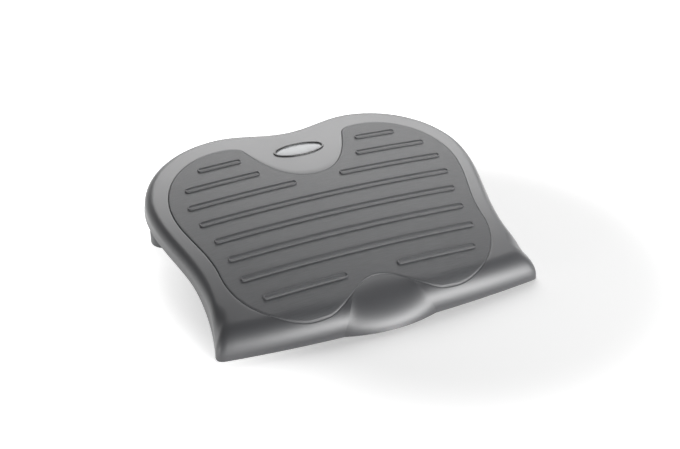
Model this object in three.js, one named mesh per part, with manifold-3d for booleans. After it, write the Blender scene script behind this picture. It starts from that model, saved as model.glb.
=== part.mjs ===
// Under-desk footrest: a moulded platform that stands on its front edge and on two
// height-adjustable rear legs, so that the height of the legs sets its tilt.
// Millimetres. X runs to the right seen from the front, Y to the back, Z up from the floor.

import * as THREE from 'three';
import { mergeVertices } from 'three/addons/utils/BufferGeometryUtils.js';
import Module from 'manifold-3d';

const wasm = await Module();
wasm.setup();

// Platform outline
const depth = 377.8;                // nose tip to rear lobe crest
const halfWidth = 231.2;          // centre line to the widest place of a lobe
const widestY = 64.2;               // where the lobes are widest
const waistHalfWidth = 207.8;
const waistY = -93.4;
const cornerHalfWidth = 221.4;      // at the front corners
const cornerRadius = 13;          // in plan
const frontBow = 15.5;            // the front edge runs forward by this, corner to centre
const noseHalfWidth = 62;
const noseDepth = 9;              // how far the nose stands out of the front edge, at the floor
const noseTopWidthShare = 0.74;   // of the nose's size at the floor, left where it meets the deck
const noseTopDepthShare = 0.25;
const lobeCrestX = 102;
const saddleDepth = 19.7;         // dip of the back edge between the lobes

// Deck surface
const backHeight = 105.4;           // deck height on the centre line, at the three named places
const middleHeight = 80.4;
const frontHeight = 29.1;
const crown = 9.4;                // how far the deck falls from its centre line to its widest place

// Platform walls
const edgeRadius = 11.7;            // top edge, sides and back
const frontEdgeRadius = 20;       // top edge, front
const frontEdgeStartY = -113;     // the front radius takes over between these two places
const frontEdgeFullY = -153;
const skirtDraft = 1.2;
const leastInnerRadius = 3;
const edgeTurns = 5;              // steps round the top edge
const skirtWall = 3;
const deckWall = 4.5;
const skirtDepth = 21;          // deck to the skirt's lower edge
const archStartY = -138;          // where the side skirt leaves the floor
const archSlope = 0.49;
const deckRingShares = [0.84, 0.63, 0.42, 0.21];   // rings between the deck's edge and its centre
const floorGap = 1;               // shell to floor, taken up by the rubber pads

// Stiffening ribs under the deck
const ribThickness = 2;
const ribDepth = 9;
const ribPlacesX = [50, 125];     // each on both sides of the centre line
const ribPlacesY = [-112, -42, 28, 98];

// Tread pad, in its recess
const padHalfWidth = 203;
const padWidestY = 47.1;
const padWaistHalfWidth = 181.5;
const padWaistY = -74.9;
const padFrontY = -169.4;
const padFrontX = 95;             // foremost places of the pad, on both sides of the nose
const padArchY = -132.9;            // crest of the pad's arch over the nose
const padLobeCrestX = 107;
const padLobeCrestY = 152.1;
const bayY = 60.1;                  // foremost place of the bay round the badge
const bayHalfWidth = 74;
const bayMouthY = 141.1;
const bayFloorShare = 0.62;       // how flat the bay's front is
const bayFlankShares = [0.84, 0.62];
const bayShoulderShare = 0.2;
const padDrop = 1.1;              // the pad's face lies this far below the rim
const padThickness = 1.5;
const barWidth = 7;
const barHeight = 2.2;
const barPitch = 35;
const barCount = 8;
const firstBarY = 119.6;
const barSink = 0.4;              // how far a bar's flanks run down into the sheet
const barSectionLength = 90;
const barOuterEndShares = [0.81, 0.87, 0.88, 0.88, 0.88, 0.88, 0.88, 0.85];   // of the pad's half width there
const barInnerEndShares = [0.61, 0.43, 0.19, 0, 0, 0, 0, 0.28];               // of the bar's outer end
const barProfileShares = [[-1, 0], [-0.65, 0.8], [0, 1], [0.65, 0.8], [1, 0]]; // half width, height
const barRoundingShares = [0.03, 0.3, 1];                                      // stations of a round end

// Badge on the saddle
const badgeY = 117.1;
const badgeHalfLength = 36.5;
const badgeHalfHeight = 14.5;
const badgePocketDepth = 1.6;
const bezelWidth = 2.8;
const bezelHeight = 2.6;
const bezelChamfer = 0.5;
const plateThickness = 1.4;

// Legs
const legX = 198;
const legY = 115.5;
const legTravel = 16;             // up or down from the middle setting
const stemRadius = 8.5;
const stemBore = 5.5;
const stemFloor = 4;              // solid plastic between the foot and the stem's bore
const footRadius = 19;
const footHeight = 20;
const footRound = 3;
const grooveDepth = 1.2;
const flangeRadius = 10.2;
const flangeHeight = 4;

// Leg guides
const guideWall = 2.2;
const guideLength = 40;
const lipLength = 11;             // the narrow part of the bore, at the lower end
const wireAboveGuideEnd = 6;
const earPlateHeight = 4;
const earPlateAboveGuideEnd = 29;
const earReach = 26;              // leg axis to a screw
const earRadius = 5.8;
const earAngles = [165, 225, 285];
const spoolReach = 22;            // leg axis to the lug that holds the detent spring
const spoolHeight = 7;
const webWidth = 9;

// Detent spring, fasteners and rubber
const wireRadius = 1;
const bendSteps = 8;
const screwRadius = 1.9;
const screwLength = 12;
const screwHeadRadius = 4;
const screwHeadHeight = 2.4;
const screwHeadChamfer = 1;
const driveRadius = 1.6;
const driveDepth = 1.2;
const bossRadius = 5;
const footPadRadius = 14;
const rubberThickness = 3;
const rubberChamfer = 0.5;
const gripLength = 70;
const gripWidth = 10;
const gripX = 122;
const gripFromFront = 11.5;       // front edge to the middle of a grip strip
const shelfBorder = 3;
const shelfThickness = 4.6;

// Clearances
const slideGap = 0.3;             // between pieces that slide in one another
const seatGap = 0.3;              // between pieces that are fixed to one another
const recessDepth = padDrop + padThickness + seatGap;
const overrun = 30;               // how far a cut runs past what it cuts
const embed = 1;                  // how far a joined shape reaches into its neighbour

// Finishes
function finish(color, roughness, metalness = 0) {
  return new THREE.MeshStandardMaterial({ color, roughness, metalness });
}

const shellFinish = finish(0x5d5e61, 0.42);
const padFinish = finish(0x55575a, 0.75);
const bezelFinish = finish(0x18181a, 0.35);
const plateFinish = finish(0xc9cbce, 0.3, 0.8);
const legFinish = finish(0x66686b, 0.45);
const guideFinish = finish(0x3a3b3d, 0.5);
const steelFinish = finish(0xa9adb2, 0.3, 0.9);
const rubberFinish = finish(0x1c1c1d, 0.85);

// Solids

function solidFrom(geometry) {
  const bare = geometry.index ? geometry.toNonIndexed() : geometry.clone();
  bare.deleteAttribute('normal');
  bare.deleteAttribute('uv');
  const merged = mergeVertices(bare, 1e-4);
  const places = merged.getAttribute('position').array;
  const corners = Array.from(merged.index.array);
  const triangles = [];
  let volume = 0;
  for (let i = 0; i < corners.length; i += 3) {
    const [a, b, c] = corners.slice(i, i + 3);
    if (a === b || b === c || c === a) continue;
    triangles.push(a, b, c);
    const [p, q, r] = [a, b, c].map((k) => new THREE.Vector3().fromArray(places, 3 * k));
    volume += p.dot(q.cross(r));
  }
  if (volume < 0) triangles.reverse();
  return new wasm.Manifold(new wasm.Mesh({
    numProp: 3,
    vertProperties: new Float32Array(places),
    triVerts: new Uint32Array(triangles),
  }));
}

function geometryFrom(solid) {
  const mesh = solid.getMesh();
  const geometry = new THREE.BufferGeometry();
  geometry.setAttribute('position', new THREE.BufferAttribute(mesh.vertProperties, 3));
  geometry.setIndex(new THREE.BufferAttribute(mesh.triVerts, 1));
  geometry.computeVertexNormals();
  return geometry;
}

const joined = (solids) => solids.reduce((whole, solid) => whole.add(solid));

// A closed solid through rings of equally many points, each ring counter-clockwise seen
// from above, the rings listed from the bottom up; both ends are closed by a fan.
function loft(rings) {
  const count = rings[0].length;
  const centre = (ring) => ring.reduce((sum, p) => sum.add(p), new THREE.Vector3()).divideScalar(count);
  const points = rings.flat().concat([centre(rings[0]), centre(rings.at(-1))]);
  const bottom = points.length - 2;
  const top = points.length - 1;
  const last = (rings.length - 1) * count;
  const index = [];
  for (let k = 0; k < count; k++) {
    const next = (k + 1) % count;
    index.push(bottom, next, k, top, last + k, last + next);
    for (let row = 0; row < last; row += count) {
      index.push(row + k, row + next, row + count + next);
      index.push(row + k, row + count + next, row + count + k);
    }
  }
  const geometry = new THREE.BufferGeometry().setFromPoints(points);
  geometry.setIndex(index);
  return solidFrom(geometry);
}

function box(width, length, height, x, y, z) {
  return solidFrom(new THREE.BoxGeometry(width, length, height)).translate([x, y, z]);
}

// Revolved about the vertical axis; a profile point is [radius, height].
function turned(profile, sides = 22) {
  const points = profile.map(([radius, height]) => new THREE.Vector2(radius, height));
  return solidFrom(new THREE.LatheGeometry(points, sides).rotateX(Math.PI / 2));
}

function disc(radius, low, high, sides = 20) {
  return turned([[0, low], [radius, low], [radius, high], [0, high]], sides);
}

function prism(outline, low, high) {
  const shape = new THREE.Shape(outline);
  const block = new THREE.ExtrudeGeometry(shape, { depth: high - low, bevelEnabled: false });
  return solidFrom(block.translate(0, 0, low));
}

function oval(halfLength, halfHeight, sides = 40) {
  return new THREE.EllipseCurve(0, 0, halfLength, halfHeight).getPoints(sides).slice(0, -1);
}

// The deck: a parabola from back to front through its three heights, falling off sideways.
const backY = depth / 2;
const noseY = -depth / 2;
const frontY = noseY + noseDepth;
const cornerY = frontY + frontBow;

function deckHeight(x, y) {
  const t = y / backY;
  const along = middleHeight + t * (backHeight - frontHeight) / 2
    + t * t * ((backHeight + frontHeight) / 2 - middleHeight);
  return along - crown * (x / halfWidth) ** 2;
}

function deckSlope(y) {
  const bend = (backHeight + frontHeight) / 2 - middleHeight;
  return ((backHeight - frontHeight) / 2 + 2 * (y / backY) * bend) / backY;
}

// A sheet that follows the deck, between two heights above it.
function deckSheet(low, high, columns, rows) {
  const places = [];
  for (const lift of [low, high]) {
    for (let row = 0; row <= rows; row++) {
      for (let column = 0; column <= columns; column++) {
        const x = halfWidth * (2 * column / columns - 1);
        const y = backY * (2 * row / rows - 1);
        places.push(new THREE.Vector3(x, y, deckHeight(x, y) + lift));
      }
    }
  }
  const layer = (columns + 1) * (rows + 1);
  const at = (column, row) => row * (columns + 1) + column;
  const index = [];
  const quad = (a, b, c, d) => index.push(a, b, c, a, c, d);
  for (let row = 0; row < rows; row++) {
    for (let column = 0; column < columns; column++) {
      const corners = [at(column, row), at(column + 1, row), at(column + 1, row + 1), at(column, row + 1)];
      quad(...corners.map((k) => k + layer));
      quad(...corners.reverse());
    }
  }
  const wall = (a, b) => quad(a, b, b + layer, a + layer);
  for (let column = 0; column < columns; column++) {
    wall(at(column, 0), at(column + 1, 0));
    wall(at(column + 1, rows), at(column, rows));
  }
  for (let row = 0; row < rows; row++) {
    wall(at(columns, row), at(columns, row + 1));
    wall(at(0, row + 1), at(0, row));
  }
  const geometry = new THREE.BufferGeometry().setFromPoints(places);
  geometry.setIndex(index);
  return solidFrom(geometry);
}

// Outlines: the right half from the front to the back, then its mirror image

const steps = (count, point) => Array.from({ length: count }, (_, k) => point(k / count));
const ease = (t) => (1 - Math.cos(Math.PI * t)) / 2;
const mix = THREE.MathUtils.lerp;

function quarterOval(centreX, centreY, halfLength, halfHeight, fromAngle, count) {
  return steps(count, (t) => {
    const angle = THREE.MathUtils.degToRad(fromAngle + 90 * t);
    const x = centreX + halfLength * Math.cos(angle);
    return new THREE.Vector2(x, centreY + halfHeight * Math.sin(angle));
  });
}

function mirrored(half) {
  const other = half.slice(1, -1).reverse().map((p) => new THREE.Vector2(-p.x, p.y));
  return half.concat(other);
}

const noseReach = (rise) => noseHalfWidth * mix(1, noseTopWidthShare, rise);

// The front edge in plan: the nose narrows and draws back from the floor (0) to the deck (1).
function frontEdgeY(x, rise = 0) {
  const standing = noseDepth * mix(1, noseTopDepthShare, rise);
  const nose = Math.max(0, 1 - (x / noseReach(rise)) ** 2) * standing;
  return frontY + frontBow * (x / cornerHalfWidth) ** 2 - nose;
}

function platformOutline(rise = 0) {
  const frontEnd = cornerHalfWidth - cornerRadius;
  const sideStartY = cornerY + cornerRadius;
  const flareX = (y) => mix(waistHalfWidth, cornerHalfWidth, ((waistY - y) / (waistY - cornerY)) ** 2);
  const onFront = (x) => new THREE.Vector2(x, frontEdgeY(x, rise));
  const onFlare = (y) => new THREE.Vector2(flareX(y), y);
  const onSide = (t) => new THREE.Vector2(mix(waistHalfWidth, halfWidth, ease(t)), mix(waistY, widestY, t));
  const onSaddle = (t) => new THREE.Vector2(mix(lobeCrestX, 0, t), backY - saddleDepth * ease(t));
  const corner = new THREE.QuadraticBezierCurve(
    onFront(frontEnd),
    new THREE.Vector2(cornerHalfWidth, cornerY),
    onFlare(sideStartY),
  );
  return mirrored([
    ...steps(5, (t) => onFront(noseReach(rise) * t)),
    ...steps(5, (t) => onFront(mix(noseReach(rise), frontEnd, t))),
    ...corner.getPoints(4).slice(0, -1),
    ...steps(4, (t) => onFlare(mix(sideStartY, waistY, t))),
    ...steps(7, onSide),
    ...quarterOval(lobeCrestX, widestY, halfWidth - lobeCrestX, backY - widestY, 0, 10),
    ...steps(6, onSaddle),
    onSaddle(1),
  ]);
}

function padOutline() {
  const bayMouth = new THREE.Vector2(bayHalfWidth, bayMouthY);
  const flankY = mix(bayY, bayMouthY, bayFlankShares[1]);
  const bay = new THREE.CubicBezierCurve(
    new THREE.Vector2(0, bayY),
    new THREE.Vector2(bayHalfWidth * bayFloorShare, bayY),
    new THREE.Vector2(bayHalfWidth * bayFlankShares[0], flankY),
    bayMouth,
  );
  const shoulder = new THREE.QuadraticBezierCurve(
    new THREE.Vector2(padLobeCrestX, padLobeCrestY),
    new THREE.Vector2(mix(bayHalfWidth, padLobeCrestX, bayShoulderShare), padLobeCrestY),
    bayMouth,
  );
  const frontLength = padWaistHalfWidth - padFrontX;
  const lobeLength = padHalfWidth - padLobeCrestX;
  const onArch = (t) => new THREE.Vector2(padFrontX * t, mix(padArchY, padFrontY, ease(t)));
  const onSide = (t) => {
    const x = mix(padWaistHalfWidth, padHalfWidth, ease(t));
    return new THREE.Vector2(x, mix(padWaistY, padWidestY, t));
  };
  return mirrored([
    ...steps(7, onArch),
    ...quarterOval(padFrontX, padWaistY, frontLength, padWaistY - padFrontY, -90, 8),
    ...steps(6, onSide),
    ...quarterOval(padLobeCrestX, padWidestY, lobeLength, padLobeCrestY - padWidestY, 0, 8),
    ...shoulder.getPoints(3).slice(0, -1),
    ...bay.getPoints(7).reverse(),
  ]);
}

// The same outline grown or shrunk by a margin, measured square to it.
function offset(outline, margin) {
  return outline.map((point, k) => {
    const before = outline.at(k - 1);
    const after = outline[(k + 1) % outline.length];
    const along = after.clone().sub(before).normalize();
    return new THREE.Vector2(point.x + along.y * margin, point.y - along.x * margin);
  });
}

// Half width of an outline at a place along it, on its outer side.
function outerReach(outline, y) {
  let reach = 0;
  outline.forEach((point, k) => {
    const next = outline[(k + 1) % outline.length];
    if ((point.y - y) * (next.y - y) > 0 || point.y === next.y) return;
    reach = Math.max(reach, mix(point.x, next.x, (y - point.y) / (next.y - point.y)));
  });
  return reach;
}

// Platform shell

function edgeRadiusAt(y) {
  const share = THREE.MathUtils.smoothstep(-y, -frontEdgeStartY, -frontEdgeFullY);
  return mix(edgeRadius, frontEdgeRadius, share);
}

function lowerEdge(x, y) {
  return Math.max(floorGap, Math.min(archSlope * (y - archStartY), deckHeight(x, y) - skirtDepth));
}

// One ring of the platform: each outline point drawn in by its own inset.
function drawnIn(outline, insetAt, heightAt) {
  return outline.map((point) => {
    const inset = insetAt(point);
    const x = point.x * (1 - inset / halfWidth);
    const y = point.y * (1 - inset / backY);
    return new THREE.Vector3(x, y, heightAt(point, x, y));
  });
}

// The platform as a solid block, all its faces moved in by the walls given. Its outline
// is a function of how far the edge has turned.
function platformBlock(outlineAt, side, top, turns, bottomAt) {
  const radius = (point) => Math.max(edgeRadiusAt(point.y) - top, leastInnerRadius);
  const rings = [drawnIn(outlineAt(0), () => side, bottomAt)];
  for (let k = 0; k <= turns; k++) {
    const angle = k / turns * Math.PI / 2;
    rings.push(drawnIn(
      outlineAt(k / turns),
      (point) => side + skirtDraft + radius(point) * (1 - Math.cos(angle)),
      (point, x, y) => deckHeight(x, y) - top - radius(point) * (1 - Math.sin(angle)),
    ));
  }
  const edge = rings.at(-1);
  for (const share of deckRingShares) {
    const onDeck = (x, y) => new THREE.Vector3(x, y, deckHeight(x, y) - top);
    rings.push(edge.map(({ x, y }) => onDeck(share * x, share * y)));
  }
  return loft(rings);
}

const coarseOutline = (rise) => platformOutline(rise).filter((point, k) => k % 2 === 0);

// What is left of the platform's block within an even skin.
function blockWithin(skin) {
  return platformBlock(coarseOutline, skin, skin, edgeTurns, () => -overrun);
}

function stiffeners(within) {
  const height = backHeight + overrun;
  const ribs = [];
  for (const x of ribPlacesX) {
    for (const side of [-1, 1]) ribs.push(box(ribThickness, depth, height, side * x, 0, height / 2));
  }
  for (const y of ribPlacesY) ribs.push(box(2 * halfWidth, ribThickness, height, 0, y, height / 2));
  const layer = deckSheet(-deckWall - ribDepth, embed - deckWall, 8, 6);
  return joined(ribs).intersect(layer).intersect(within);
}

// Places of the grip strips: the strip's middle and its turn, square to the front edge.
function gripPlaces() {
  const y = frontEdgeY(gripX) + gripFromFront;
  return [-1, 1].map((side) => {
    const turn = Math.atan(side * 2 * frontBow * gripX / cornerHalfWidth ** 2);
    return { name: side < 0 ? 'left' : 'right', x: side * gripX, y, turn };
  });
}

function turnedTo(solid, { x, y, turn }) {
  return solid.rotate([0, 0, THREE.MathUtils.radToDeg(turn)]).translate([x, y, 0]);
}

function gripShelf(place) {
  const length = gripLength + 2 * shelfBorder;
  const width = gripWidth + 2 * shelfBorder;
  const middle = floorGap + shelfThickness / 2;
  const shelf = box(length, width + shelfBorder, shelfThickness, 0, -shelfBorder / 2, middle);
  const gussets = [-1, 1].map((side) => {
    const x = side * (length - ribThickness) / 2;
    return box(ribThickness, width, backHeight, x, 0, floorGap + backHeight / 2);
  });
  return turnedTo(joined([shelf, ...gussets]), place);
}

function gripPocket(place) {
  const top = rubberThickness + seatGap;
  const height = top + overrun;
  const cut = box(gripLength + 2 * seatGap, gripWidth + 2 * seatGap, height, 0, 0, top - height / 2);
  return turnedTo(cut, place);
}

const legSides = [{ name: 'left', side: -1 }, { name: 'right', side: 1 }];

const guideEnd = floorGap + footHeight + legTravel + slideGap;
const wireHeight = guideEnd + wireAboveGuideEnd;
const earPlateLow = guideEnd + earPlateAboveGuideEnd;
const earPlateTop = earPlateLow + earPlateHeight;

function screwPlaces(side) {
  return earAngles.map((angle) => {
    const turn = THREE.MathUtils.degToRad(angle);
    return [side * (legX + earReach * Math.cos(turn)), legY + earReach * Math.sin(turn)];
  });
}

const discAt = ([x, y], radius, low, high) => disc(radius, low, high, 12).translate([x, y, 0]);

function platformShell() {
  const lowest = (point) => lowerEdge(point.x, point.y);
  const outer = platformBlock(platformOutline, 0, 0, edgeTurns, lowest);
  const hollow = platformBlock(coarseOutline, skirtWall, deckWall, 3, () => -overrun);
  const within = platformBlock(coarseOutline, skirtWall - embed, deckWall - 2 * embed, 3, () => -overrun);
  const screws = legSides.flatMap(({ side }) => screwPlaces(side));
  const bosses = screws.map((place) => discAt(place, bossRadius, earPlateTop + seatGap, backHeight));
  const pilots = screws.map((place) => discAt(place, screwRadius + seatGap, 0, earPlateLow + screwLength));
  const shelves = joined(gripPlaces().map(gripShelf)).intersect(outer);
  const recessOutline = offset(padOutline(), seatGap);
  const recess = prism(recessOutline, 0, 2 * backHeight).subtract(blockWithin(recessDepth));
  const badgeOval = oval(badgeHalfLength + seatGap, badgeHalfHeight + seatGap);
  const badgePocket = onBadgePlane(prism(badgeOval, -badgePocketDepth, overrun));
  const body = joined([outer.subtract(hollow), stiffeners(within), shelves, joined(bosses).intersect(within)]);
  return body.subtract(joined([recess, badgePocket, ...gripPlaces().map(gripPocket), ...pilots]));
}

// Tread pad

function bar(fromX, toX, y) {
  const half = barWidth / 2;
  const base = -padDrop - barSink;
  const rounding = barRoundingShares.map((share) => [share * half, Math.sqrt(1 - (1 - share) ** 2)]);
  const middles = Math.ceil((toX - fromX) / barSectionLength);
  const stations = [
    ...rounding.map(([into, size]) => [fromX + into, size]),
    ...steps(middles, (t) => [mix(fromX + half, toX - half, t), 1]).slice(1),
    ...rounding.reverse().map(([into, size]) => [toX - into, size]),
  ];
  return loft(stations.map(([x, size]) => {
    const upper = barProfileShares.map(([across, up]) => {
      const place = y + across * size * half;
      return new THREE.Vector3(x, place, deckHeight(x, place) + base + up * size * (barHeight + barSink));
    });
    return [...upper, new THREE.Vector3(x, y, deckHeight(x, y) + base - barSink)];
  }));
}

function treadPad() {
  const outline = padOutline();
  const sheet = prism(outline, 0, 2 * backHeight)
    .intersect(blockWithin(padDrop))
    .subtract(blockWithin(padDrop + padThickness));
  const bars = [];
  for (let k = 0; k < barCount; k++) {
    const y = firstBarY - barPitch * k;
    const end = outerReach(outline, y) * barOuterEndShares[k];
    const start = end * barInnerEndShares[k];
    if (start > 0) bars.push(bar(-end, -start, y), bar(start, end, y));
    else bars.push(bar(-end, end, y));
  }
  return joined([sheet, ...bars]);
}

// Badge: an oval bezel and a bare plate in a pocket, square to the deck

function onBadgePlane(solid) {
  const tilt = THREE.MathUtils.radToDeg(Math.atan(deckSlope(badgeY)));
  return solid.rotate([tilt, 0, 0]).translate([0, badgeY, deckHeight(0, badgeY)]);
}

function badgeBezel() {
  const low = -badgePocketDepth + seatGap;
  const ring = (inset) => oval(badgeHalfLength - inset, badgeHalfHeight - inset);
  const top = low + bezelHeight;
  const layers = [[0, low], [0, top - bezelChamfer], [bezelChamfer, top]];
  const ringAt = ([inset, height]) => ring(inset).map((p) => new THREE.Vector3(p.x, p.y, height));
  const rings = layers.map(ringAt);
  const hole = prism(ring(bezelWidth), low - overrun, low + overrun);
  return onBadgePlane(loft(rings).subtract(hole));
}

function badgePlate() {
  const low = -badgePocketDepth + seatGap;
  const edge = bezelWidth + seatGap;
  const outline = oval(badgeHalfLength - edge, badgeHalfHeight - edge);
  return onBadgePlane(prism(outline, low, low + plateThickness));
}

// Leg: foot, stem with three detent grooves, and the flange that stops it in its guide

function groove(height) {
  const half = wireRadius + slideGap;
  const low = [[stemRadius, -half], [stemRadius - grooveDepth, -half / 2]];
  const high = [[stemRadius - grooveDepth, half / 2], [stemRadius, half]];
  return [...low, ...high].map(([radius, above]) => [radius, height + above]);
}

const flangeLow = guideEnd + lipLength + legTravel + slideGap;

function leg() {
  const low = floorGap;
  const top = low + footHeight;
  const socket = rubberThickness + seatGap;
  const corner = (centreHeight, fromAngle) => [0, 1, 2].map((k) => {
    const angle = THREE.MathUtils.degToRad(fromAngle + 45 * k);
    const radius = footRadius - footRound * (1 - Math.cos(angle));
    return [radius, centreHeight + footRound * Math.sin(angle)];
  });
  return turned([
    [0, socket],
    [footPadRadius + seatGap, socket],
    [footPadRadius + seatGap, low],
    ...corner(low + footRound, -90),
    ...corner(top - footRound, 0),
    [stemRadius, top],
    ...groove(wireHeight - legTravel),
    ...groove(wireHeight),
    ...groove(wireHeight + legTravel),
    [stemRadius, flangeLow],
    [flangeRadius, flangeLow],
    [flangeRadius, flangeLow + flangeHeight],
    [stemBore, flangeLow + flangeHeight],
    [stemBore, top + stemFloor],
    [0, top + stemFloor],
  ]);
}

function footPad() {
  return turned([
    [0, 0],
    [footPadRadius - rubberChamfer, 0],
    [footPadRadius, rubberChamfer],
    [footPadRadius, rubberThickness],
    [0, rubberThickness],
  ]);
}

// Leg guide: a sleeve with a narrow lower lip, three screw ears and a grooved lug for the spring

const armOffset = stemRadius - grooveDepth + slideGap + wireRadius;

function legGuide(side) {
  const lipBore = stemRadius + slideGap;
  const bore = flangeRadius + slideGap;
  const outside = bore + guideWall;
  const lipTop = guideEnd + lipLength;
  const top = guideEnd + guideLength;
  const sleeve = turned([
    [lipBore, guideEnd],
    [outside, guideEnd],
    [outside, top],
    [bore, top],
    [bore, lipTop],
    [lipBore, lipTop],
    [lipBore, guideEnd],
  ], 26);
  const solidSleeve = disc(bore + guideWall / 2, guideEnd - embed, top + embed, 26);
  const ears = earAngles.flatMap((angle) => {
    const ear = disc(earRadius, earPlateLow, earPlateTop, 16).translate([earReach, 0, 0]);
    const middle = (earPlateLow + earPlateTop) / 2;
    const plate = box(earReach, 2 * earRadius, earPlateHeight, earReach / 2, 0, middle);
    const gusset = new THREE.Shape([
      new THREE.Vector2(0, earPlateLow + embed),
      new THREE.Vector2(0, guideEnd + lipLength),
      new THREE.Vector2(outside, guideEnd + lipLength),
      new THREE.Vector2(earReach - earRadius, earPlateLow),
      new THREE.Vector2(earReach - earRadius, earPlateLow + embed),
    ]);
    const rib = new THREE.ExtrudeGeometry(gusset, { depth: ribThickness, bevelEnabled: false });
    const standing = solidFrom(rib.rotateX(Math.PI / 2).translate(0, ribThickness / 2, 0));
    return [ear, plate, standing].map((solid) => solid.rotate([0, 0, angle]));
  });
  const spoolDisc = (radius, height) => (
    disc(radius, wireHeight - height / 2, wireHeight + height / 2).translate([-spoolReach, 0, 0])
  );
  const web = box(spoolReach, webWidth, spoolHeight, -spoolReach / 2, 0, wireHeight);
  const spool = [spoolDisc(armOffset + wireRadius, spoolHeight), web];
  const slot = 2 * (wireRadius + slideGap);
  const armSlots = [-1, 1].map((edge) => box(
    spoolReach + outside + embed, slot, slot,
    (outside + embed - spoolReach) / 2, edge * armOffset, wireHeight,
  ));
  const spoolGroove = spoolDisc(armOffset + slot, slot)
    .subtract(spoolDisc(armOffset - slot / 2, slot))
    .subtract(box(2 * overrun, 2 * overrun, overrun, overrun - spoolReach, 0, wireHeight));
  const holes = earAngles.map((angle) => (
    disc(screwRadius + seatGap, earPlateLow - overrun, earPlateTop + overrun, 12)
      .translate([earReach, 0, 0]).rotate([0, 0, angle])
  ));
  const added = joined([...ears, ...spool]).subtract(solidSleeve);
  const guide = joined([sleeve, added]).subtract(joined([...armSlots, spoolGroove, ...holes]));
  return side > 0 ? guide : guide.mirror([1, 0, 0]);
}

// Detent spring: steel wire bent to a U, its arms lying in the stem's groove

function detentSpring(side) {
  const armEnd = flangeRadius + guideWall + 2 * wireRadius;
  const path = new THREE.CurvePath();
  const places = [[armEnd, armOffset]];
  for (let k = 0; k <= bendSteps; k++) {
    const angle = Math.PI * (1 / 2 + k / bendSteps);
    places.push([armOffset * Math.cos(angle) - spoolReach, armOffset * Math.sin(angle)]);
  }
  places.push([armEnd, -armOffset]);
  const points = places.map(([x, y]) => new THREE.Vector3(x, y, 0));
  points.slice(1).forEach((point, k) => path.add(new THREE.LineCurve3(points[k], point)));
  const section = new THREE.Shape(oval(wireRadius, wireRadius, 6));
  const wire = new THREE.ExtrudeGeometry(section, { steps: 32, bevelEnabled: false, extrudePath: path });
  const solid = solidFrom(wire.translate(0, 0, wireHeight));
  return side > 0 ? solid : solid.mirror([1, 0, 0]);
}

// Self-tapping screw, pan head down, with a round drive recess

function screw() {
  const headTop = earPlateLow - seatGap;
  const headLow = headTop - screwHeadHeight;
  return turned([
    [0, headLow + driveDepth],
    [driveRadius, headLow + driveDepth],
    [driveRadius, headLow],
    [screwHeadRadius - screwHeadChamfer, headLow],
    [screwHeadRadius, headLow + screwHeadChamfer],
    [screwHeadRadius, headTop],
    [screwRadius, headTop],
    [screwRadius, headTop + screwLength - screwRadius],
    [0, headTop + screwLength],
  ], 12);
}

function gripStrip() {
  const half = gripWidth / 2;
  const end = gripLength / 2 - half;
  const shape = new THREE.Shape();
  shape.absarc(end, 0, half, -Math.PI / 2, Math.PI / 2);
  shape.absarc(-end, 0, half, Math.PI / 2, Math.PI * 1.5);
  return solidFrom(new THREE.ExtrudeGeometry(shape, {
    depth: rubberThickness,
    bevelEnabled: false,
    curveSegments: 8,
  }));
}

// Assembly

const footrest = new THREE.Group();

function addPiece(parent, name, solid, material) {
  const mesh = new THREE.Mesh(geometryFrom(solid), material);
  mesh.name = name;
  parent.add(mesh);
  return mesh;
}

addPiece(footrest, 'platform_shell', platformShell(), shellFinish);
addPiece(footrest, 'tread_pad', treadPad(), padFinish);
addPiece(footrest, 'badge_bezel', badgeBezel(), bezelFinish);
addPiece(footrest, 'badge_plate', badgePlate(), plateFinish);

for (const place of gripPlaces()) {
  const strip = addPiece(footrest, `front_grip_${place.name}`, gripStrip(), rubberFinish);
  strip.position.set(place.x, place.y, 0);
  strip.rotation.z = place.turn;
}

for (const { name, side } of legSides) {
  const corner = new THREE.Group();
  corner.position.set(side * legX, legY, 0);
  addPiece(corner, `leg_guide_${name}`, legGuide(side), guideFinish);
  addPiece(corner, `leg_${name}`, leg(), legFinish);
  addPiece(corner, `foot_pad_${name}`, footPad(), rubberFinish);
  addPiece(corner, `detent_spring_${name}`, detentSpring(side), steelFinish);
  footrest.add(corner);
  screwPlaces(side).forEach(([x, y], k) => {
    const fastener = addPiece(footrest, `guide_screw_${name}_${k + 1}`, screw(), steelFinish);
    fastener.position.set(x, y, 0);
  });
}

export default footrest;
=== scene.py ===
# Tilting under-desk footrest, put together from the platform moulding to the badge.
# Metres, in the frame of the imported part: X to the right seen from the front, Y to the back, Z up.

from math import atan2, cos, pi, radians, sin

import bmesh
import bpy
import numpy as np
from mathutils import Matrix, Vector


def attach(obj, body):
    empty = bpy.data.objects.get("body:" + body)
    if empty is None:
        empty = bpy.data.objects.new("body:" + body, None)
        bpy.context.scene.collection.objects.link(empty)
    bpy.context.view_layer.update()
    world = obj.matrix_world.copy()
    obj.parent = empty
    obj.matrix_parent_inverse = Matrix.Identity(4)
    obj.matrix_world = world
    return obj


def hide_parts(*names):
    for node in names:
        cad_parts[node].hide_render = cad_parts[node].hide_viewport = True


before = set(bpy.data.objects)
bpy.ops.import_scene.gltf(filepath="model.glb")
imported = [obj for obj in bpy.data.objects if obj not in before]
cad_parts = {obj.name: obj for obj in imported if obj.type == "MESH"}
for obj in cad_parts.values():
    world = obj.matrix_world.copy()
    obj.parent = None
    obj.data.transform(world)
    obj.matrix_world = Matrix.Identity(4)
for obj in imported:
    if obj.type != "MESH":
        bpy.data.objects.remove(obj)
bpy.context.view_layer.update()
scene = bpy.context.scene
scene.view_settings.view_transform = "Standard"

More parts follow.
